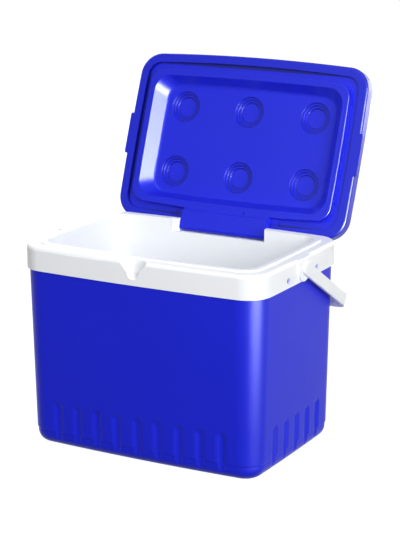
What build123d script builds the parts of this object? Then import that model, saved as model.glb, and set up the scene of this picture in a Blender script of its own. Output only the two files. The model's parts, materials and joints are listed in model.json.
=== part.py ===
from build123d import *
import math
import os

os.makedirs("parts", exist_ok=True)

# Millimetres. The origin is the middle of the base on the floor, +Z is up, and the front faces -Y.

# ---- Plan form: rounded rectangles whose sides bow outward ----
bow_x = 1.5  # bow of the short sides
bow_y = 4.9  # bow of the front and rear

# ---- Collar and tub (one moulding) ----
collar_half_x = 165.0
collar_half_y = 109.85
collar_corner = 30.0
collar_top_z = 253.2
collar_top_round = 4.6
collar_plate = 3.0
bead_inset = 13.7
bead_rise = 1.8
bead_round = 1.5
opening_inset = 20.5
opening_corner = 20.6
liner_wall = 2.3
tub_floor_z = 22.0
tub_draft = 1.2
tub_foot = 13.0
tub_floor_round = 12.0
tub_back_chamfer = 8.0

# ---- Outer shell, set in under the collar ----
collar_overhang_x = 3.0
collar_overhang_y = 0.9
collar_height = 29.3
shoulder_corner = 30.3
wall_draft = 1.22
shell_wall = 3.6
crease_z = 19.7
plinth_step = 1.2
foot_round = 14.6
foot_back_chamfer = 9.0
neck_step = 0.6
neck_fit = 0.15
underside_depth = 1.0
underside_rim = 20.0

# ---- Flutes round the foot ----
flute_depth = 2.4
flute_floor_radius = 9.6
flute_floor_angle = 34.0
flute_lip_angle = 15.0
flute_flare = 2.0
flute_end_z = 51.7
flute_pitch = 28.6
flute_end_margin = 41.5

# ---- Snap windows in the short sides of the collar ----
window_y = 37.7
window_drop = 20.8
window_radius = 3.9
button_gap = 0.35
button_sink = 2.4

# ---- Finger scoop in the front of the collar ----
scoop_top_half = 20.0
scoop_top_depth = 11.0
scoop_low_half = 8.0
scoop_low_depth = 5.0
scoop_height = 14.2

# ---- Hinge in the rear of the collar ----
hinge_setback = 0.1
hinge_drop = 5.05
open_angle = 110.8
pin_radius = 2.5
pin_bearing = 8.0
pin_clearance = 0.05
cheek_ahead = 6.25
notch_depth = 16.2
lip_rise = 2.0
lip_ahead = 12.75
trough_wall = 2.4

# ---- Hinge block on the lid ----
block_half = 61.0
block_ahead = 16.25
block_behind = 10.0
block_drop = 10.0
block_front_round = 3.0
block_low_round = 4.5
block_top_round = 7.0
block_end_gap = 0.8
cheek_step = 5.0
trough_rim = 5.7
pad_half = 72.0
pad_ahead = 5.75
pad_sink = 2.1

# ---- Lid ----
lid_gap = 0.3
lid_setback_x = 1.3
lid_setback_y = 1.35
lid_corner = 29.7
lid_side_height = 21.5
lid_top_round = 9.0
lid_back_chamfer = 4.0
crown_inset = 17.0
crown_rise = 2.4
crown_slope = 45.0
lid_wall = 2.4
flange_thickness = 3.2
flange_round = 3.0
groove_inset = 11.5
groove_depth = 4.5
panel_inset = 21.1
panel_corner = 19.5
panel_drop = 5.0
panel_round = 1.6
lug_half = 27.0
lug_reach = 2.6
lug_thickness = 3.0
lug_round = 2.2
nub_radius = 1.5
nub_end_x = 48.7
nub_end_y = 46.5
vent_radius = 1.2
vent_x = 25.0
vent_ahead = 2.0

# ---- Recess and cups in the lid's inner panel ----
recess_inset = 28.4
recess_corner = 22.0
recess_run_x = 13.5
recess_run_y = 9.1
recess_floor_corner = 20.0
recess_floor_round = 5.0
recess_bow_x = 0.6
recess_bow_y = 2.0
recess_floor_rise = 11.0
cup_margin = 7.4
cup_radii = (20.5, 17.5, 14.2)
cup_step = 2.1
cup_slant = 1.0
cup_wall = 1.8

# ---- Carry handle ----
pivot_drop = 13.7
boss_radius = 15.6
boss_stand = 3.0
boss_root = 0.5
boss_round = 1.0
handle_gap = 0.3
arm_thickness = 3.5
arm_width = 15.3
bar_gap = 1.7
bar_relief = 0.8
bar_thickness = 5.0
bail_corner = 14.5
stud_radius = 4.5
stud_clearance = 0.05
stud_sink = 0.3
handle_angle = -31.0

# ---- Places that follow from these ----
plate_z = collar_top_z - collar_plate
flange_z = collar_top_z + lid_gap
shoulder_z = collar_top_z - collar_height
window_z = collar_top_z - window_drop
scoop_low_z = collar_top_z - scoop_height
front_y = collar_half_y + bow_y
shoulder_half_x = collar_half_x - collar_overhang_x
shoulder_half_y = collar_half_y - collar_overhang_y
lid_half_x = collar_half_x - lid_setback_x
lid_half_y = collar_half_y - lid_setback_y
hinge_y = collar_half_y - hinge_setback
hinge_z = collar_top_z - hinge_drop
notch_floor_z = collar_top_z - notch_depth
cheek_y = hinge_y - cheek_ahead
lip_y = hinge_y - lip_ahead
notch_outer_half = block_half + block_end_gap
notch_inner_half = notch_outer_half + cheek_step
trough_half = notch_inner_half + trough_rim
pivot_z = collar_top_z - pivot_drop
boss_face_x = collar_half_x + bow_x + boss_stand
boss_root_x = collar_half_x - boss_root
recess_floor_half_x = lid_half_x - recess_inset - recess_run_x
recess_floor_half_y = lid_half_y - recess_inset - recess_run_y
hinge_axis = Axis((0, hinge_y, hinge_z), (1, 0, 0))
pivot_axis = Axis((0, 0, pivot_z), (1, 0, 0))
past = 40.0  # how far a cutting tool runs past what it cuts


def bowed_face(half_x, half_y, corner, z, side_bow=bow_x, end_bow=bow_y):
    """A level rounded rectangle whose four sides bow outward."""
    corners = [(-half_x, -half_y), (half_x, -half_y), (half_x, half_y), (-half_x, half_y)]
    middles = [(0, -half_y - end_bow), (half_x + side_bow, 0), (0, half_y + end_bow), (-half_x - side_bow, 0)]
    sides = [ThreePointArc(corners[i], middles[i], corners[(i + 1) % 4]) for i in range(4)]
    face = Face(Wire(sides))
    return Pos(0, 0, z) * face.fillet_2d(corner, face.vertices())


def drafted(outline, height, held_z, angle):
    """A prism whose walls lean outward going up and keep the outline's place at height held_z."""
    prism = extrude(outline, height)
    walls = [face for face in prism.faces() if abs(face.normal_at().Z) < 0.5]
    return draft(walls, Plane.XY.offset(held_z), -angle)


def on_foot(form, height, shape_edge, size):
    """A form with an upright foot under it, whose lower edge is rounded or chamfered."""
    foot = extrude(form.faces().sort_by(Axis.Z)[0], height)
    return form + shape_edge(foot.faces().sort_by(Axis.Z)[0].edges(), size)


def narrowing(z):
    """How far the draft has brought the box's walls in from the shoulder, at height z."""
    return (shoulder_z - z) * math.tan(math.radians(wall_draft))


def body_section(inset, z):
    """The box's outline at the shoulder, inset all round, placed at height z."""
    return bowed_face(shoulder_half_x - inset, shoulder_half_y - inset, shoulder_corner - inset, z)


def box_walls(inset, low_z, top_z):
    """The drafted box form between two heights, inset all round."""
    return drafted(body_section(inset, low_z), top_z - low_z, shoulder_z, wall_draft)


def body_form():
    """The outside of the box: drafted walls on a stepped-in plinth with a rounded foot."""
    walls = box_walls(0, crease_z, shoulder_z)
    ledge = extrude(walls.faces().sort_by(Axis.Z)[0], plinth_step)
    sides = [face for face in ledge.faces() if abs(face.normal_at().Z) < 0.5]
    ledge = draft(sides, Plane.XY.offset(crease_z), -45)
    return walls + on_foot(ledge, crease_z - plinth_step, fillet, foot_round)


def wall_reach(half, bow, along, span):
    """How far out a bowed wall is, at a distance along it from its middle."""
    return half + bow * (1 - (along / span) ** 2)


def round_depth_radius(half_width, depth):
    """The radius of an arc with this half chord and this depth."""
    return (half_width**2 + depth**2) / (2 * depth)


def flute_half_profile():
    """Half of a flute's cross-section: a hollow floor arc, then a lip that eases out to the wall at y = 0."""
    floor_arc = JernArc((0, -flute_depth), (1, 0), flute_floor_radius, flute_floor_angle)
    start = floor_arc @ 1
    lip = (flute_flare - start.Y) / math.tan(math.radians(flute_lip_angle))
    outline = Polyline(start, (start.X + lip, flute_flare), (0, flute_flare), (0, -flute_depth))
    return make_face([floor_arc, outline])


def flute_cutter():
    """A flute in local axes: it runs down from its round end, and the wall's outside faces +Y."""
    half = flute_half_profile()
    run = extrude(half + mirror(half, Plane.YZ), -flute_end_z - past)
    return Rot(-wall_draft, 0, 0) * (run + revolve(half, Axis.Y, 360))


def flute_steps(half_side):
    """Where flutes stand along a wall: as many as fit, evenly about its middle."""
    each_way = int((half_side - flute_end_margin) / flute_pitch)
    return [i * flute_pitch for i in range(-each_way, each_way + 1)]


def flutes():
    """A flute cutter at each place round the four walls, square to the bowed wall that it is sunk into."""
    half_x = shoulder_half_x - narrowing(flute_end_z)
    half_y = shoulder_half_y - narrowing(flute_end_z)
    cutter = flute_cutter()
    cuts = []
    for x in flute_steps(half_x):
        y = wall_reach(half_y, bow_y, x, half_x)
        turn = math.degrees(math.atan2(2 * bow_y * x, half_x**2))
        cuts.append(Pos(x, y, flute_end_z) * Rot(0, 0, -turn) * cutter)
        cuts.append(Pos(x, -y, flute_end_z) * Rot(0, 0, 180 + turn) * cutter)
    for y in flute_steps(half_y):
        x = wall_reach(half_x, bow_x, y, half_y)
        cuts.append(Pos(x, y, flute_end_z) * Rot(0, 0, -90) * cutter)
        cuts.append(Pos(-x, y, flute_end_z) * Rot(0, 0, 90) * cutter)
    return cuts


def scoop_form(grow):
    """The finger scoop: a leaning cone with a round end, larger all round by grow."""

    def ring(half, depth, z):
        radius = round_depth_radius(half, depth)
        return Pos(0, -front_y - radius + depth, z), radius + grow

    top_place, top_radius = ring(scoop_top_half, scoop_top_depth, collar_top_z)
    low_place, low_radius = ring(scoop_low_half, scoop_low_depth, scoop_low_z)
    cone = loft([low_place * Circle(low_radius).face(), top_place * Circle(top_radius).face()], ruled=True)
    mouth = extrude(top_place * Circle(top_radius), past)
    return cone + mouth + low_place * Sphere(low_radius)


def block_between(x0, x1, y0, y1, z0, z1):
    """A box given by its two corners."""
    middle = ((x0 + x1) / 2, (y0 + y1) / 2, (z0 + z1) / 2)
    return Pos(*middle) * Box(x1 - x0, y1 - y0, z1 - z0)


def collar_face(inset, z):
    """The collar's outline, inset all round; its corners tighten to the opening's."""
    corner = collar_corner - inset * (collar_corner - opening_corner) / opening_inset
    return bowed_face(collar_half_x - inset, collar_half_y - inset, corner, z)


def collar_blank():
    """The collar's outer form, solid, with its rounded top edge."""
    blank = extrude(collar_face(0, shoulder_z), collar_top_z - shoulder_z)
    return fillet(blank.faces().sort_by(Axis.Z)[-1].edges(), collar_top_round)


def tub_walls(grow, top_z):
    """The tub's drafted walls above its foot; grow gives their outside."""
    low_z = tub_floor_z + tub_foot
    return drafted(collar_face(opening_inset - grow, low_z), top_z - low_z, collar_top_z, tub_draft)


def tub_inside():
    return on_foot(tub_walls(0, collar_top_z + bead_rise), tub_foot, fillet, tub_floor_round)


def tub_outside():
    return on_foot(tub_walls(liner_wall, collar_top_z), tub_foot + liner_wall, chamfer, tub_back_chamfer)


def trough_blank(gap):
    """The solid under and beside the hinge notch, before the notch is cut."""
    side = trough_half + gap
    front = collar_half_y - opening_inset
    return block_between(-side, side, front, front_y + past, notch_floor_z - trough_wall - gap, collar_top_z)


def notch_form():
    """The hinge block's notch: a lip at the front, then wide, then narrower between the bearing cheeks."""
    top = collar_top_z + past
    over_lip = block_between(-notch_inner_half, notch_inner_half, 0, lip_y, notch_floor_z + lip_rise, top)
    wide = block_between(-notch_inner_half, notch_inner_half, lip_y, cheek_y, notch_floor_z, top)
    narrow = block_between(-notch_outer_half, notch_outer_half, lip_y, front_y + past, notch_floor_z, top)
    return over_lip + wide + narrow


def pin_form(radius):
    """A rod along the hinge line, from bearing to bearing."""
    length = 2 * (notch_outer_half + pin_bearing)
    return Pos(0, hinge_y, hinge_z) * Cylinder(radius, length, rotation=(0, 90, 0))


def cross_rod(radius, x0, x1, y, z):
    """A rod along X from x0 to x1."""
    return Pos((x0 + x1) / 2, y, z) * Cylinder(radius, x1 - x0, rotation=(0, 90, 0))


def both_sides(shape):
    """A shape and its mirror image across the middle plane."""
    return shape + mirror(shape, Plane.YZ)


def pivot_boss():
    """The pad round the handle's pivot on the right-hand side, level with the top of the collar."""
    outline = Pos(0, pivot_z) * Circle(boss_radius)
    outline += Pos(0, (pivot_z + collar_top_z) / 2) * Rectangle(2 * boss_radius, collar_top_z - pivot_z)
    outline -= Pos(0, collar_top_z + past / 2) * Rectangle(2 * past, past)
    pad = extrude(Plane.YZ * outline, boss_face_x)
    pad -= block_between(-past, boss_root_x, -past, past, 0, collar_top_z + past)
    return fillet(pad.faces().sort_by(Axis.X)[-1].edges(), boss_round)


def body_cavity():
    """The space inside the shell's wall, up to the underside of the collar."""
    space = box_walls(shell_wall, shell_wall, plate_z)
    return chamfer(space.faces().sort_by(Axis.Z)[0].edges(), foot_back_chamfer)


def make_outer_shell(cavity):
    shell = body_form() - flutes()
    shell += box_walls(neck_step, shoulder_z - shell_wall, plate_z - neck_fit)
    shell -= cavity
    foot_inset = narrowing(0) + underside_rim
    shell -= extrude(body_section(foot_inset, 0), underside_depth)
    shell -= scoop_form(liner_wall + neck_fit)
    shell -= trough_blank(neck_fit)
    button_face = collar_half_x + bow_x - button_sink
    button_root = button_face - shell_wall
    for y in (-window_y, window_y):
        shell += both_sides(cross_rod(window_radius - button_gap, button_root, button_face, y, window_z))
    return shell


def make_body_insulation(cavity):
    foam = cavity - tub_outside()
    foam -= scoop_form(liner_wall)
    return foam - trough_blank(0)


def make_inner_liner():
    blank = collar_blank()
    liner = blank - box_walls(neck_step - neck_fit, shoulder_z - past, plate_z)
    liner += blank & (scoop_form(liner_wall) + trough_blank(0))
    bead = extrude(collar_face(bead_inset, collar_top_z), bead_rise)
    liner += fillet(bead.faces().sort_by(Axis.Z)[-1].edges(), bead_round)
    liner += tub_outside()
    liner += both_sides(pivot_boss())
    liner -= tub_inside()
    liner -= scoop_form(0)
    liner -= notch_form()
    liner -= pin_form(pin_radius)
    inner_x = boss_root_x - shell_wall
    for y in (-window_y, window_y):
        liner -= both_sides(cross_rod(window_radius, inner_x, boss_face_x, y, window_z))
    return liner - both_sides(cross_rod(stud_radius + stud_clearance, inner_x, boss_face_x, 0, pivot_z))


def make_hinge_pin():
    return pin_form(pin_radius)


def lid_face(inset, z):
    return bowed_face(lid_half_x - inset, lid_half_y - inset, lid_corner - inset, z)


def cover_form(inset, low_z, shape_edge, size):
    """The lid's outer form with its low raised field, inset all round; it stands on low_z."""
    brow_z = flange_z + lid_side_height - inset
    form = extrude(lid_face(inset, low_z), brow_z - low_z)
    form = shape_edge(form.faces().sort_by(Axis.Z)[-1].edges(), size)
    return form + drafted(lid_face(crown_inset + inset, brow_z), crown_rise, brow_z, -crown_slope)


def cover_inside(low_z):
    return cover_form(lid_wall, low_z, chamfer, lid_back_chamfer)


def recess_form(grow):
    """The sloping recess of the inner panel; grow gives the back of its wall."""
    mouth_x = lid_half_x - recess_inset + grow
    mouth_y = lid_half_y - recess_inset + grow
    mouth_z = flange_z - panel_drop
    floor_x = recess_floor_half_x + grow
    floor_y = recess_floor_half_y + grow
    floor_z = flange_z + recess_floor_rise + grow
    mouth = bowed_face(mouth_x, mouth_y, recess_corner + grow, mouth_z, recess_bow_x, recess_bow_y)
    floor = bowed_face(floor_x, floor_y, recess_floor_corner + grow, floor_z, recess_bow_x, recess_bow_y)
    return loft([mouth, floor], ruled=True)


def cup_places():
    """The middles of the six cups, three along by two across, a margin in from the recess floor's sides."""
    x = recess_floor_half_x - cup_radii[0] - cup_margin
    y = recess_floor_half_y - cup_radii[0] - cup_margin
    return [Pos(i * x, j * y) for i in (-1, 0, 1) for j in (-1, 1)]


def cup_form():
    """One stepped round cup with slanted steps, each deeper and narrower than the last."""
    points = [(0, -cup_step), (cup_radii[0], -cup_step)]
    for step, radius in enumerate(cup_radii):
        points += [(radius, step * cup_step), (radius - cup_slant, (step + 1) * cup_step)]
    profile = make_face(Polyline(*points, (0, len(cup_radii) * cup_step), close=True))
    floor_z = flange_z + recess_floor_rise
    return Pos(0, 0, floor_z) * revolve(Plane.XZ * profile, Axis.Z, 360)


def cup_blank():
    """The solid round one cup, before the cup is cut."""
    low_z = flange_z + recess_floor_rise
    height = len(cup_radii) * cup_step + cup_wall
    return Pos(0, 0, low_z) * extrude(Circle(cup_radii[0] + cup_wall), height)


def side_lug():
    """A grip lug at the flange's level in the middle of the right-hand side."""
    reach = lid_half_x + bow_x + lug_reach
    lug = block_between(lid_half_x - lid_wall, reach, -lug_half, lug_half, flange_z, flange_z + lug_thickness)
    return fillet(lug.edges().filter_by(Axis.Z).sort_by(Axis.X)[-2:], lug_round)


def plug_face():
    """The outline of the raised panel that drops into the opening."""
    return bowed_face(lid_half_x - panel_inset, lid_half_y - panel_inset, panel_corner, flange_z - panel_drop)


def groove_form():
    """The groove round the raised panel, which takes the collar's bead."""
    plug = extrude(plug_face(), panel_drop + groove_depth)
    return extrude(lid_face(groove_inset, flange_z), groove_depth) - plug


def groove_nubs():
    """Small upright nubs on the raised panel's wall, in the groove."""
    half_x = lid_half_x - panel_inset
    half_y = lid_half_y - panel_inset
    end_x = lid_half_x - nub_end_x
    end_y = lid_half_y - nub_end_y
    places = [(x, -wall_reach(half_y, bow_y, x, half_x)) for x in (-end_x, 0, end_x)]
    for y in (-end_y, end_y):
        x = wall_reach(half_x, bow_x, y, half_y)
        places += [(-x, y), (x, y)]
    low_z = flange_z - panel_drop + 2 * panel_round
    nub = extrude(Pos(0, 0, low_z) * Circle(nub_radius), flange_z + groove_depth - low_z)
    return [Pos(x, y) * nub for x, y in places]


def panel_blank():
    """The inner panel with its recess and cups still solid."""
    flange = extrude(lid_face(0, flange_z), flange_thickness)
    flange = fillet(flange.faces().sort_by(Axis.Z)[0].edges(), flange_round)
    step = extrude(lid_face(groove_inset - lid_wall, flange_z), groove_depth + lid_wall)
    plug = extrude(plug_face(), panel_drop + groove_depth)
    plug = fillet(plug.faces().sort_by(Axis.Z)[0].edges(), panel_round)
    blank = flange + step - groove_form() + plug + groove_nubs()
    blank += hinge_block()
    blank += both_sides(side_lug())
    blank -= trough_over_panel()
    blank += recess_form(lid_wall)
    return blank + [place * cup_blank() for place in cup_places()]


def trough_over_panel():
    """The hollow behind the raised panel, filled with foam."""
    inset = panel_inset + lid_wall
    low_z = flange_z - panel_drop + lid_wall
    floor = bowed_face(lid_half_x - inset, lid_half_y - inset, panel_corner - lid_wall, low_z)
    return extrude(floor, panel_drop + groove_depth)


def hinge_block():
    """The block the hinge pin runs through, joined to the panel, with a low pad at each end of the groove."""
    front = hinge_y - block_ahead
    rear = hinge_y + block_behind
    block = block_between(
        -block_half, block_half, front, rear, flange_z - block_drop, flange_z + flange_thickness
    )
    low_edges = block.edges().filter_by(Axis.X).group_by(Axis.Z)[0].sort_by(Axis.Y)
    block = fillet(low_edges[0], block_front_round)
    rear_edges = block.edges().filter_by(Axis.X).group_by(Axis.Y)[-1].sort_by(Axis.Z)
    block = fillet(rear_edges[0], block_low_round)
    top_edges = block.edges().filter_by(Axis.X).group_by(Axis.Z)[-1].sort_by(Axis.Y)
    block = fillet(top_edges[-1], block_top_round)
    pad_front = lid_half_y - panel_inset
    pad_rear = hinge_y - pad_ahead
    pads = block_between(
        -pad_half, pad_half, pad_front, pad_rear, flange_z + pad_sink, flange_z + groove_depth
    )
    bridge_end = front + block_front_round
    bridge = block_between(
        -block_half, block_half, pad_front, bridge_end, flange_z - panel_drop, flange_z + groove_depth
    )
    return block + pads + bridge


def make_lid_inner_panel(blank):
    recess = recess_form(0)
    panel = blank - fillet(recess.faces().sort_by(Axis.Z)[-1].edges(), recess_floor_round)
    panel -= [place * cup_form() for place in cup_places()]
    vent_y = lid_half_y - panel_inset + vent_ahead
    panel -= Pos(vent_x, vent_y, flange_z - panel_drop) * Cylinder(vent_radius, 2 * lid_wall)
    return panel - pin_form(pin_radius + pin_clearance)


def make_lid_cover():
    low_z = flange_z + flange_thickness
    return cover_form(0, low_z, fillet, lid_top_round) - cover_inside(low_z)


def make_lid_insulation(blank):
    foam = cover_inside(flange_z + flange_thickness) + trough_over_panel()
    return foam - blank - groove_form()


def bail_outline(half_x, reach, corner):
    """The bail's outline from above: straight sides from the pivots, and a bar bowed like the rear wall."""
    end = arm_width / 2
    bar_bow = (bow_y + bar_relief) / math.cos(math.radians(handle_angle))
    sides = Polyline((half_x, reach), (half_x, -end), (-half_x, -end), (-half_x, reach))
    bar = ThreePointArc((-half_x, reach), (0, reach + bar_bow), (half_x, reach))
    face = make_face([sides, bar])
    return fillet(face.vertices().sort_by(Axis.Y)[-2:], corner)


def make_carry_handle():
    """A flat-band bail, modelled pointing straight back and then laid down on the rear wall."""
    inner_x = boss_face_x + handle_gap
    outer_x = inner_x + arm_thickness
    bar_inner = (collar_half_y + bar_gap) / math.cos(math.radians(handle_angle))
    band = bail_outline(outer_x, bar_inner + bar_thickness, bail_corner)
    band -= bail_outline(inner_x, bar_inner, bail_corner - arm_thickness)
    end = arm_width / 2
    band = extrude(Pos(0, 0, pivot_z) * band, end, both=True)
    side = Pos(outer_x, pivot_z) * Rectangle(2 * outer_x, arm_width)
    side += Pos(0, pivot_z) * Circle(end)
    bail = band & extrude(Plane.YZ * side, outer_x, both=True)
    stud_end = boss_root_x - stud_sink
    bail += both_sides(cross_rod(stud_radius, stud_end, inner_x + arm_thickness / 2, 0, pivot_z))
    return bail.rotate(pivot_axis, handle_angle)


def opened(shape):
    """A lid part, moved from the shut pose to the open one."""
    return shape.rotate(hinge_axis, -open_angle)


foam_space = body_cavity()
solid_panel = panel_blank()
nodes = {
    "outer_shell": make_outer_shell(foam_space),
    "body_insulation": make_body_insulation(foam_space),
    "inner_liner": make_inner_liner(),
    "hinge_pin": make_hinge_pin(),
    "lid_cover": opened(make_lid_cover()),
    "lid_insulation": opened(make_lid_insulation(solid_panel)),
    "lid_inner_panel": opened(make_lid_inner_panel(solid_panel)),
    "carry_handle": make_carry_handle(),
}

for name, shape in nodes.items():
    export_step(shape, f"parts/{name}.step")
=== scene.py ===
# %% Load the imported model
import json
import math

import bpy
from mathutils import Matrix, Vector

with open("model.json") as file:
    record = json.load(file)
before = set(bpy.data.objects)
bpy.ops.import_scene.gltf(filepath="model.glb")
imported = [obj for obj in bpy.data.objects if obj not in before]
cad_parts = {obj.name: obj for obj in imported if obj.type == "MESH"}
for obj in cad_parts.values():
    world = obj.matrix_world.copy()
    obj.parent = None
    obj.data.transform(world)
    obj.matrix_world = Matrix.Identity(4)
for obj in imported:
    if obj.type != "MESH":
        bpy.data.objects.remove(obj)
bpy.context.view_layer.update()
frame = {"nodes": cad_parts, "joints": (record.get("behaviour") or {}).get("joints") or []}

nodes = frame["nodes"]
print("nodes:", sorted(nodes))

# %% [markdown]
# ## The vaccine carrier
# The carrier is an insulated box of eight pieces: an outer shell, a white tub with its collar, a
# lid made of an outer skin and an inner panel, foam in the body and in the lid, a hinge pin and a
# carry handle. Their shapes come from the CAD model and already lie where they belong. What is left
# to make here is how they look: a finish for each piece, a floor, the light and the camera.

# %% [markdown]
# ## Helpers for node trees
# A finish in Blender is a tree of nodes, and wiring one in code repeats three steps: make a group
# with named sockets, add a node with its settings, and join sockets. Three short helpers hold these
# steps, so the cells below read as the finish that they make.

# %% Helpers that make a group, add a node and join sockets
SOCKET_TYPES = {"color": "NodeSocketColor", "value": "NodeSocketFloat"}


def new_group(name, inputs, outputs):
    """Makes a node group with named sockets, and gives back the group, its input node and its output node."""
    group = bpy.data.node_groups.new(name, "ShaderNodeTree")
    for side, sockets in (("INPUT", inputs), ("OUTPUT", outputs)):
        for socket_name, kind in sockets:
            group.interface.new_socket(name=socket_name, in_out=side, socket_type=SOCKET_TYPES[kind])
    return group, group.nodes.new("NodeGroupInput"), group.nodes.new("NodeGroupOutput")


def add_node(tree, kind, **values):
    """Adds a node and sets its inputs by name; a name that is no input is set as a property."""
    node = tree.nodes.new(kind)
    for key, value in values.items():
        if key in node.inputs:
            node.inputs[key].default_value = value
        else:
            setattr(node, key, value)
    return node


def join(tree, kind, *sources, **values):
    """Adds a node, feeds its first inputs from sockets or plain numbers, and gives back its first output."""
    node = add_node(tree, kind, **values)
    for socket, source in zip(node.inputs, sources):
        if isinstance(source, bpy.types.NodeSocket):
            tree.links.new(source, socket)
        else:
            socket.default_value = source
    return node.outputs[0]


print("socket types:", SOCKET_TYPES)

# %% [markdown]
# ## Moulded plastic: one shared effect
# Both blues and the white on this carrier are injection-moulded plastic. Such a surface is never
# quite even: the colour drifts a little where the melt flowed, the gloss drifts with the
# temperature of the mould, and a fine orange-peel covers it all. The three effects could be painted
# into a texture, but a texture needs an unwrapped mesh. Noise on Object coordinates needs none and
# has no seams, so it goes into one node group that each material places with its own colours and
# gloss.

# %% The moulded-plastic group
FLOW_SCALE = 7.0  # noise scales, in patches per metre
DRIFT_SCALE = 28.0
PEEL_SCALE = 420.0
NOISE_MIDDLE = 0.5


def make_moulded_group():
    group, given, out = new_group(
        "moulded_plastic",
        [("Color", "color"), ("Flow Color", "color"), ("Roughness", "value"), ("Gloss Drift", "value")],
        [("Color", "color"), ("Roughness", "value"), ("Height", "value")],
    )
    link = group.links.new
    place = add_node(group, "ShaderNodeTexCoord")
    flow = add_node(group, "ShaderNodeTexNoise", Scale=FLOW_SCALE, Detail=3.0, Distortion=0.6)
    drift = add_node(group, "ShaderNodeTexNoise", Scale=DRIFT_SCALE, Detail=4.0)
    peel = add_node(group, "ShaderNodeTexNoise", Scale=PEEL_SCALE, Detail=2.0)
    for texture in (flow, drift, peel):
        link(place.outputs["Object"], texture.inputs["Vector"])
    mix = add_node(group, "ShaderNodeMix", data_type="RGBA")
    link(flow.outputs["Fac"], mix.inputs["Factor"])
    link(given.outputs["Color"], mix.inputs["A"])
    link(given.outputs["Flow Color"], mix.inputs["B"])
    centred = join(group, "ShaderNodeMath", drift.outputs["Fac"], NOISE_MIDDLE, operation="SUBTRACT")
    roughness = join(
        group, "ShaderNodeMath", centred, given.outputs["Gloss Drift"], given.outputs["Roughness"],
        operation="MULTIPLY_ADD",
    )
    link(mix.outputs["Result"], out.inputs["Color"])
    link(roughness, out.inputs["Roughness"])
    link(peel.outputs["Fac"], out.inputs["Height"])
    return group


moulded_group = make_moulded_group()
print("sockets of the moulded group:", [socket.name for socket in moulded_group.interface.items_tree])

# %% [markdown]
# ## Painted shade in the lid's groove and cups
# Two places on the lid's inner skin get painted shade, a darker blue that stands in for the shadow
# they hold: the groove round the panel, where the bead of the tub sits, and the foot of each step in
# the six cups. A hand-painted mask would do it, but the places follow from a few sizes, so a node
# group works them out. It turns the open lid's coordinates back to the shut lid, where the panel lies
# flat, then measures depth for the groove, and the distance from each cup's middle for the foot of each step.

# %% The shut lid's sizes, in metres
lid_hinge = next(joint for joint in frame["joints"] if joint["name"] == "lid_hinge")
hinge = Vector(lid_hinge["pos_m"])
opening = math.radians(lid_hinge["range_deg"][1])
FLANGE_Z = 0.2535
DEPTH_MARGIN = 0.001  # how far a mask starts in front of its face
GROOVE_DEPTH = 0.0045
GROOVE_HALF = (0.1533, 0.1000)  # half of the length and of the width inside the groove's outer wall
GROOVE_CORNER = 0.0182
# width of the painted shade along the groove's outer wall
PAINTED_SHADE_WIDTH = 0.0036
RECESS_FLOOR_Z = 0.2645
CUP_PITCH = 0.0939
CUP_ROW = 0.0431  # from the lid's middle line to a row of cups
CUP_RADIUS = 0.0205
STEP_FEET = (0.0132, 0.0165, 0.0195)  # radius of the foot of each step
# widths of the painted shade ring at the foot of each step
FOOT_WIDTH = 0.0017
FULL_BEFORE_FOOT = 0.0002
GONE_AFTER_FOOT = 0.0004
print("lid opens by", round(math.degrees(opening), 1), "degrees about", tuple(hinge))


# %% Where a point of the open lid lies on the shut lid
def shut_lid_place(group):
    """The Mapping node turns a point about the hinge, as the joint turns the lid."""
    turn = Matrix.Rotation(opening, 3, "X")
    return join(
        group, "ShaderNodeMapping", add_node(group, "ShaderNodeTexCoord").outputs["Object"],
        Location=hinge - turn @ hinge, Rotation=(opening, 0, 0),
    )


def split(group, vector):
    node = add_node(group, "ShaderNodeSeparateXYZ")
    group.links.new(vector, node.inputs[0])
    return node.outputs


def length_of(group, vector):
    node = add_node(group, "ShaderNodeVectorMath", operation="LENGTH")
    group.links.new(vector, node.inputs[0])
    return node.outputs["Value"]


print("height of the hinge:", round(hinge.z, 4), "and of the shut lid's flange:", FLANGE_Z)


# %% The painted shade in the groove
def groove_shade_mask(group, beside, height):
    """Painted shade: 1 deep in the groove by its outer wall, less towards the panel and towards the flange."""
    straight = [half - GROOVE_CORNER for half in GROOVE_HALF]
    past = join(group, "ShaderNodeVectorMath", beside, (*straight, 0), operation="SUBTRACT")
    past = join(group, "ShaderNodeVectorMath", past, (0, 0, 0), operation="MAXIMUM")
    start = GROOVE_CORNER - PAINTED_SHADE_WIDTH
    by_wall = join(group, "ShaderNodeMapRange", length_of(group, past), start, start + PAINTED_SHADE_WIDTH / 2)
    depth = join(group, "ShaderNodeMapRange", height, FLANGE_Z - DEPTH_MARGIN, FLANGE_Z + GROOVE_DEPTH)
    return join(group, "ShaderNodeMath", by_wall, depth, operation="MULTIPLY")


print("film in the groove, in mm:", round(PAINTED_SHADE_WIDTH * 1000, 1))


# %% The painted shade in the cups
def step_shade_ramp(group, radius):
    """Painted shade: 1 at the foot of each step, fading towards the cup's middle."""
    node = add_node(group, "ShaderNodeValToRGB")
    ramp = node.color_ramp
    ramp.elements[1].color = (0, 0, 0, 1)
    for foot in STEP_FEET:
        for place, shade in ((foot - FOOT_WIDTH, 0), (foot - FULL_BEFORE_FOOT, 1), (foot + GONE_AFTER_FOOT, 0)):
            ramp.elements.new(place / CUP_RADIUS).color = (shade, shade, shade, 1)
    share = join(group, "ShaderNodeMath", radius, CUP_RADIUS, operation="DIVIDE")
    group.links.new(share, node.inputs["Fac"])
    return node.outputs["Color"]


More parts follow.
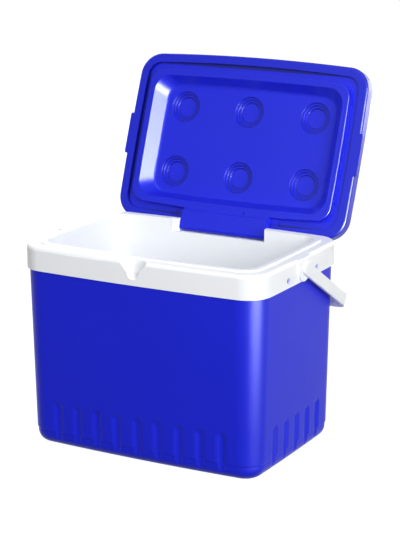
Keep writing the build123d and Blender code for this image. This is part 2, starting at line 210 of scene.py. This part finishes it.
def cup_shade_mask(group, x, y, height):
    """The painted shade rings of all six cups: three along and two across, folded onto one."""
    along = join(group, "ShaderNodeMath", x, CUP_PITCH / 2, -CUP_PITCH / 2, operation="WRAP")
    across = join(group, "ShaderNodeMath", y, CUP_ROW, operation="SUBTRACT")
    from_middle = length_of(group, join(group, "ShaderNodeCombineXYZ", along, across))
    rings = step_shade_ramp(group, from_middle)
    floor_z = RECESS_FLOOR_Z - DEPTH_MARGIN
    deep = join(group, "ShaderNodeMath", height, floor_z, operation="GREATER_THAN")
    return join(group, "ShaderNodeMath", rings, deep, operation="MULTIPLY")


print("steps in each cup:", len(STEP_FEET))


# %% The painted-shade group
def make_painted_shade_group():
    group, given, out = new_group("painted_shade_in_recesses", [("Amount", "value")], [("Mask", "value")])
    shut = shut_lid_place(group)
    flat = join(group, "ShaderNodeVectorMath", shut, (1, 1, 0), operation="MULTIPLY")
    beside = join(group, "ShaderNodeVectorMath", flat, operation="ABSOLUTE")
    parts = split(group, shut)
    groove = groove_shade_mask(group, beside, parts["Z"])
    cups = cup_shade_mask(group, parts["X"], split(group, beside)["Y"], parts["Z"])
    both = join(group, "ShaderNodeMath", groove, cups, operation="MAXIMUM")
    mask = join(group, "ShaderNodeMath", both, given.outputs["Amount"], operation="MULTIPLY")
    group.links.new(mask, out.inputs["Mask"])
    return group


painted_shade_group = make_painted_shade_group()
print("nodes in the film group:", len(painted_shade_group.nodes))

# %% [markdown]
# ## The plastics
# The shell is polyethylene dyed a strong blue, the lid the same blue a shade deeper and glossier,
# and the tub, collar and handle are white polypropylene. Plastic is a dielectric, so the dye sets
# the colour and a clear skin on top gives the gloss. The dyed skin tints its own gloss a little,
# which Specular Tint does. The Principled shader holds all of it, so each material is one
# Principled shader fed by the groups.

# %% How a plastic is put together
WHITE = (1.0, 1.0, 1.0)
# dark blue painted into the lid's groove and cups as shade
PAINTED_SHADE_BLUE = (0.002, 0.004, 0.13)
GLOSS_DRIFT = 0.10
PEEL_STRENGTH = 0.25
PEEL_HEIGHT = 0.0002


def new_material(name):
    """Makes a material, and gives back the material, its tree and its Principled shader."""
    material = bpy.data.materials.new(name)
    material.use_nodes = True
    return material, material.node_tree, material.node_tree.nodes["Principled BSDF"]


def plastic(name, color, flow_color, roughness, specular, tint=WHITE, painted_shade=0.0):
    """One moulded plastic; the last argument sets how strongly painted shade darkens the lid's groove and cups.
    """
    material, tree, shader = new_material(name)
    link = tree.links.new
    shader.inputs["Specular IOR Level"].default_value = specular
    shader.inputs["Specular Tint"].default_value = (*tint, 1)
    effect = add_node(tree, "ShaderNodeGroup", node_tree=moulded_group)
    effect.inputs["Color"].default_value = (*color, 1)
    effect.inputs["Flow Color"].default_value = (*flow_color, 1)
    effect.inputs["Roughness"].default_value = roughness
    effect.inputs["Gloss Drift"].default_value = GLOSS_DRIFT
    base = effect.outputs["Color"]
    # painted shade: the mask mixes the dark blue into the colour in the lid's groove and cups
    if painted_shade:
        mask = add_node(tree, "ShaderNodeGroup", node_tree=painted_shade_group)
        mask.inputs["Amount"].default_value = painted_shade
        painted_shade_mix = add_node(tree, "ShaderNodeMix", data_type="RGBA")
        painted_shade_mix.inputs["B"].default_value = (*PAINTED_SHADE_BLUE, 1)
        link(mask.outputs["Mask"], painted_shade_mix.inputs["Factor"])
        link(base, painted_shade_mix.inputs["A"])
        base = painted_shade_mix.outputs["Result"]
    bump = add_node(tree, "ShaderNodeBump", Strength=PEEL_STRENGTH, Distance=PEEL_HEIGHT)
    link(base, shader.inputs["Base Color"])
    link(effect.outputs["Roughness"], shader.inputs["Roughness"])
    link(effect.outputs["Height"], bump.inputs["Height"])
    link(bump.outputs["Normal"], shader.inputs["Normal"])
    return material


print("orange-peel height in mm:", round(PEEL_HEIGHT * 1000, 2))

# %% Blue and white plastics
BLUE_SKIN = (0.52, 0.58, 1.0)
SHELL_DYE = (0.012, 0.020, 0.66)
SHELL_FLOW = (0.010, 0.017, 0.59)
LID_DYE = (0.008, 0.015, 0.63)
LID_FLOW = (0.006, 0.012, 0.56)
WHITE_DYE = (0.915, 0.935, 0.95)
WHITE_FLOW = (0.90, 0.925, 0.945)

shell_blue = plastic("shell_blue", SHELL_DYE, SHELL_FLOW, roughness=0.38, specular=0.13, tint=BLUE_SKIN)
lid_blue = plastic("lid_blue", LID_DYE, LID_FLOW, roughness=0.32, specular=0.42, tint=BLUE_SKIN)
# the panel's blue carries the painted shade in its groove and cups
panel_blue = plastic(
    "panel_blue", LID_DYE, LID_FLOW, roughness=0.32, specular=0.42, tint=BLUE_SKIN, painted_shade=0.90
)
liner_white = plastic("liner_white", WHITE_DYE, WHITE_FLOW, roughness=0.35, specular=0.07)
print("plastics:", [material.name for material in (shell_blue, lid_blue, panel_blue, liner_white)])

# %% [markdown]
# ## Foam and steel
# The insulation is dark grey rigid foam, poured in place: a mass of closed cells. A Voronoi pattern
# splits the surface into such cells, and its distance runs from the dark middle of a cell to its
# paler wall, for the colour and for the height. The hinge pin is drawn steel wire, which keeps fine
# lines along its length, so its noise is stretched along the pin. Both are seen only at an edge or
# through a hole, so a pattern made of nodes is enough, and no picture is painted for them.

# %% Poured foam
FOAM_SCALE = 900.0
FOAM_MIDDLE = (0.060, 0.065, 0.085, 1)
FOAM_WALL = (0.150, 0.160, 0.190, 1)


def make_foam():
    material, tree, shader = new_material("poured_foam")
    shader.inputs["Roughness"].default_value = 0.9
    place = add_node(tree, "ShaderNodeTexCoord")
    cells = add_node(tree, "ShaderNodeTexVoronoi", Scale=FOAM_SCALE)
    shades = add_node(tree, "ShaderNodeValToRGB")
    shades.color_ramp.elements[0].color = FOAM_MIDDLE
    shades.color_ramp.elements[1].color = FOAM_WALL
    bump = add_node(tree, "ShaderNodeBump", Strength=0.6, Distance=0.0006)
    link = tree.links.new
    link(place.outputs["Object"], cells.inputs["Vector"])
    link(cells.outputs["Distance"], shades.inputs["Fac"])
    link(shades.outputs["Color"], shader.inputs["Base Color"])
    link(cells.outputs["Distance"], bump.inputs["Height"])
    link(bump.outputs["Normal"], shader.inputs["Normal"])
    return material


foam = make_foam()
print("foam:", foam.name, "with", FOAM_SCALE, "cells to the metre")

# %% Drawn steel
LINE_SCALE = 2500.0
LINE_STRETCH = (0.03, 1.0, 1.0)  # the pin lies along X
STEEL_DARK = (0.36, 0.36, 0.37, 1)
STEEL_PALE = (0.62, 0.62, 0.63, 1)
STEEL_ROUGHNESS = (0.25, 0.45)


def make_steel():
    material, tree, shader = new_material("drawn_steel")
    shader.inputs["Metallic"].default_value = 1.0
    place = add_node(tree, "ShaderNodeTexCoord")
    stretch = add_node(tree, "ShaderNodeMapping", Scale=LINE_STRETCH)
    lines = add_node(tree, "ShaderNodeTexNoise", Scale=LINE_SCALE, Detail=3.0)
    shades = add_node(tree, "ShaderNodeValToRGB")
    shades.color_ramp.elements[0].color = STEEL_DARK
    shades.color_ramp.elements[1].color = STEEL_PALE
    gloss = add_node(tree, "ShaderNodeMapRange")
    gloss.inputs["To Min"].default_value, gloss.inputs["To Max"].default_value = STEEL_ROUGHNESS
    link = tree.links.new
    link(place.outputs["Object"], stretch.inputs["Vector"])
    link(stretch.outputs["Vector"], lines.inputs["Vector"])
    link(lines.outputs["Fac"], shades.inputs["Fac"])
    link(lines.outputs["Fac"], gloss.inputs["Value"])
    link(shades.outputs["Color"], shader.inputs["Base Color"])
    link(gloss.outputs["Result"], shader.inputs["Roughness"])
    return material


steel = make_steel()
print("steel:", steel.name)

# %% [markdown]
# ## A finish for each piece
# Every piece of the carrier is one moulding, one block of foam or one wire, so each takes one
# finish. The liner and the handle share the white, and both blocks of foam share theirs.

# %% Give each carried-over node its finish
finishes = {
    "outer_shell": shell_blue,
    "body_insulation": foam,
    "inner_liner": liner_white,
    "hinge_pin": steel,
    "lid_cover": lid_blue,
    "lid_insulation": foam,
    "lid_inner_panel": panel_blue,
    "carry_handle": liner_white,
}
for name, material in finishes.items():
    nodes[name].data.materials.clear()
    nodes[name].data.materials.append(material)
    print(name, "->", material.name, len(nodes[name].data.polygons), "faces")

# %% [markdown]
# ## Floor
# The carrier stands on a plain pale floor that runs out of the picture on all sides. Most of the
# floor's brightness is added light, so it reads as white paper both to the eye and in the gloss of
# the plastic, and the small rest is lit normally, so a faint shadow stays under the foot. For the
# light that bounces around, the same floor is grey: a white floor would fill the underside with too
# much light. The Light Path node tells the two kinds of ray apart.

# %% Floor plane
FLOOR_SIZE = 12.0
bpy.ops.object.select_all(action="DESELECT")
bpy.ops.mesh.primitive_plane_add(size=FLOOR_SIZE, location=(0, 0, 0))
floor = bpy.context.object
floor.name = "floor"
bpy.ops.object.mode_set(mode="EDIT")
bpy.ops.mesh.select_all(action="SELECT")
bpy.ops.mesh.subdivide(number_cuts=3)
bpy.ops.object.mode_set(mode="OBJECT")
print("floor side:", FLOOR_SIZE, "with", len(floor.data.polygons), "faces")

# %% White paper on the floor
LIT_SHADE = (0.25, 0.25, 0.25, 1)
GLOW_STRENGTH = 0.925
BOUNCE_SHADE = (0.20, 0.20, 0.20, 1)


def seen_directly(tree):
    """1 for a ray from the camera, from gloss or through glass, and 0 for light that bounces around."""
    ray = add_node(tree, "ShaderNodeLightPath").outputs
    eye_or_gloss = join(tree, "ShaderNodeMath", ray["Is Camera Ray"], ray["Is Glossy Ray"], operation="MAXIMUM")
    return join(tree, "ShaderNodeMath", eye_or_gloss, ray["Is Transmission Ray"], operation="MAXIMUM")


paper, tree, unused_shader = new_material("white_paper")
tree.nodes.remove(unused_shader)
lit = join(tree, "ShaderNodeBsdfDiffuse", Color=LIT_SHADE)
glow = join(tree, "ShaderNodeEmission", Strength=GLOW_STRENGTH)
seen = join(tree, "ShaderNodeAddShader", lit, glow)
unseen = join(tree, "ShaderNodeBsdfDiffuse", Color=BOUNCE_SHADE)
surface = join(tree, "ShaderNodeMixShader", seen_directly(tree), unseen, seen)
tree.links.new(surface, tree.nodes["Material Output"].inputs["Surface"])
floor.data.materials.append(paper)
print("paper: lit", LIT_SHADE[0], "glow", GLOW_STRENGTH, "bounce", BOUNCE_SHADE[0])

# %% [markdown]
# ## Light
# Glossy plastic shows its lamps, so the light is set in two layers, as a studio would with flags
# and reflectors. Four large softboxes give the plain light: a key far to the right front, a wide
# fill in front, one overhead and one behind on the left. Three more boxes show only in the gloss: a
# low one puts the band of light on the rounded front corner, a high one lights the side wall of the
# lid's recess, and one behind draws the bright line along the lid's edge. They add no plain light,
# so the white collar doesn't burn out. The world fills the shadows softly, and to the eye its
# strength is 1, which is white.


# %% Softboxes
def softbox(name, place, aim, size, watts):
    """An area lamp that the camera doesn't see, turned from its place towards its aim."""
    data = bpy.data.lights.new(name, "AREA")
    data.shape = "RECTANGLE"
    data.size, data.size_y = size
    data.energy = watts
    lamp = bpy.data.objects.new(name, data)
    bpy.context.scene.collection.objects.link(lamp)
    lamp.location = place
    lamp.visible_camera = False
    lamp.rotation_euler = (Vector(aim) - Vector(place)).to_track_quat("-Z", "Y").to_euler()
    return lamp


plain_boxes = (
    softbox("key_right", place=(2.33, -1.22, 1.05), aim=(0, 0, 0.25), size=(1.2, 1.2), watts=55.0),
    softbox("fill_front", place=(-0.30, -2.85, 1.5), aim=(0, 0, 0.20), size=(1.6, 1.3), watts=17.0),
    softbox("top", place=(0, -0.8, 1.9), aim=(0, 0, 0.20), size=(1.2, 1.0), watts=10.5),
    softbox("fill_back", place=(-1.9, 1.9, 1.4), aim=(0, 0, 0.20), size=(1.4, 1.2), watts=26.0),
)
gloss_boxes = (
    softbox("strip_low", place=(0.72, -0.24, 0.22), aim=(0, 0.05, 0.20), size=(0.46, 0.42), watts=62.0),
    softbox("strip_high", place=(0.75, -0.27, 0.67), aim=(0, 0.05, 0.55), size=(0.34, 0.40), watts=24.0),
    softbox("strip_behind", place=(0.62, 1.25, 0.60), aim=(0.16, 0.10, 0.35), size=(0.80, 0.90), watts=15.0),
)
for strip in gloss_boxes:
    strip.visible_diffuse = False
print("softboxes:", len(plain_boxes), "plain and", len(gloss_boxes), "in the gloss only")

# %% World
SEEN_STRENGTH = 1.0
FILL_STRENGTH = 0.31
world = bpy.data.worlds.new("studio")
bpy.context.scene.world = world
world.use_nodes = True
tree = world.node_tree
backdrop = tree.nodes["Background"]
backdrop.inputs["Color"].default_value = (1, 1, 1, 1)
strength = add_node(tree, "ShaderNodeMapRange")
strength.inputs["To Min"].default_value = FILL_STRENGTH
strength.inputs["To Max"].default_value = SEEN_STRENGTH
tree.links.new(seen_directly(tree), strength.inputs["Value"])
tree.links.new(strength.outputs["Result"], backdrop.inputs["Strength"])
print("world strength: seen", SEEN_STRENGTH, "other", FILL_STRENGTH)

# %% [markdown]
# ## Camera
# The camera stands a little over two metres away, to the right of the front and a little above,
# with a long lens, so the edges of the box stay nearly parallel. Its place and the directions of
# its right side and its back set the view, and the lens follows from the picture's height, which is
# the longer side.

# %% Camera
PICTURE_HEIGHT_PX = 533
FOCAL_PX = 1832.34
SENSOR_MM = 36.0
CAMERA_PLACE = Vector((1.08354, -1.89071, 0.78975))
VIEW_RIGHT = Vector((0.873317, 0.487140, -0.003444))
VIEW_BACK = Vector((0.472109, -0.844585, 0.252565))
camera_data = bpy.data.cameras.new("camera")
camera_data.sensor_width = SENSOR_MM
camera_data.lens = SENSOR_MM * FOCAL_PX / PICTURE_HEIGHT_PX
camera = bpy.data.objects.new("camera", camera_data)
bpy.context.scene.collection.objects.link(camera)
axes = Matrix((VIEW_RIGHT, VIEW_BACK.cross(VIEW_RIGHT), VIEW_BACK)).transposed()
camera.matrix_world = Matrix.Translation(CAMERA_PLACE) @ axes.to_4x4()
bpy.context.scene.camera = camera
bpy.context.scene.view_settings.view_transform = "Standard"
print("lens in mm:", round(camera_data.lens, 2), "and distance in metres:", round(CAMERA_PLACE.length, 2))
